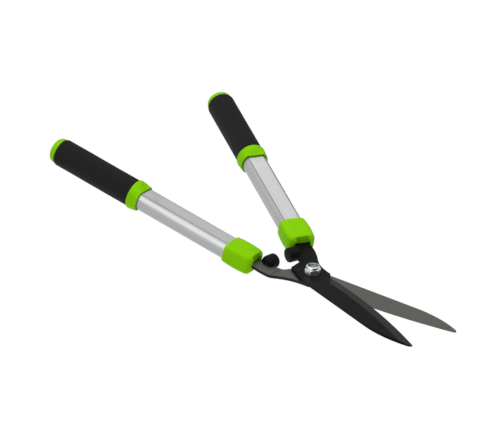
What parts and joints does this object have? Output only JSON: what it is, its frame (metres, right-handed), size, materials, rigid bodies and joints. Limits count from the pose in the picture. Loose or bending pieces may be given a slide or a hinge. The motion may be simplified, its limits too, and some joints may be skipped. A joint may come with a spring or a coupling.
{
  "type": "hedge shears",
  "caption": "Two-handed hedge shears: crossed flat steel blades on a pivot bolt, rubber bumpers, cranked aluminium tube handles with green plastic fittings and foam grips.",
  "frame": {"origin": "pivot axis, on the flat underside of the pivot bolt's head", "axes": "+Y along the blades on the shears' centre line, +X towards the right handle, +Z along the pivot bolt from its head to its nut"},
  "size_m": [0.285, 0.563, 0.1124],
  "materials": {
    "ground_steel": "flat-ground carbon steel, satin, lengthways grinding marks",
    "black_steel": "black coated steel, semi-gloss, with a ground bevel",
    "bumper_rubber": "moulded black rubber, matte",
    "green_plastic": "moulded lime-green plastic, semi-gloss",
    "core_plastic": "moulded nylon, matte",
    "tube_aluminium": "satin anodised extrusion",
    "grip_foam": "fine closed-cell foam rubber, matte",
    "zinc_steel": "bright zinc-plated steel",
    "washer_brass": "plain rolled brass",
    "dark_nylon": "dark grey nylon"
  },
  "bodies": {
    "lower_half": {"lower_blade": "ground_steel", "right_bumper": "bumper_rubber", "right_ferrule": "green_plastic", "right_tang_insert": "core_plastic", "right_tang_rivets": "zinc_steel", "right_tube": "tube_aluminium", "right_collar": "green_plastic", "right_grip": "grip_foam", "right_end_cap": "green_plastic", "pivot_bolt": "zinc_steel", "friction_washer": "washer_brass", "pivot_nut": "zinc_steel", "nut_insert": "dark_nylon"},
    "upper_half": {"upper_blade": "black_steel", "left_bumper": "bumper_rubber", "left_ferrule": "green_plastic", "left_tang_insert": "core_plastic", "left_tang_rivets": "zinc_steel", "left_tube": "tube_aluminium", "left_collar": "green_plastic", "left_grip": "grip_foam", "left_end_cap": "green_plastic"}
  },
  "joints": [
    {"name": "pivot", "type": "hinge", "parent": "lower_half", "child": "upper_half", "pos_m": [0, 0, 0.0123], "axis": [0, 0, -1], "range_deg": [-18.2, 55]}
  ]
}
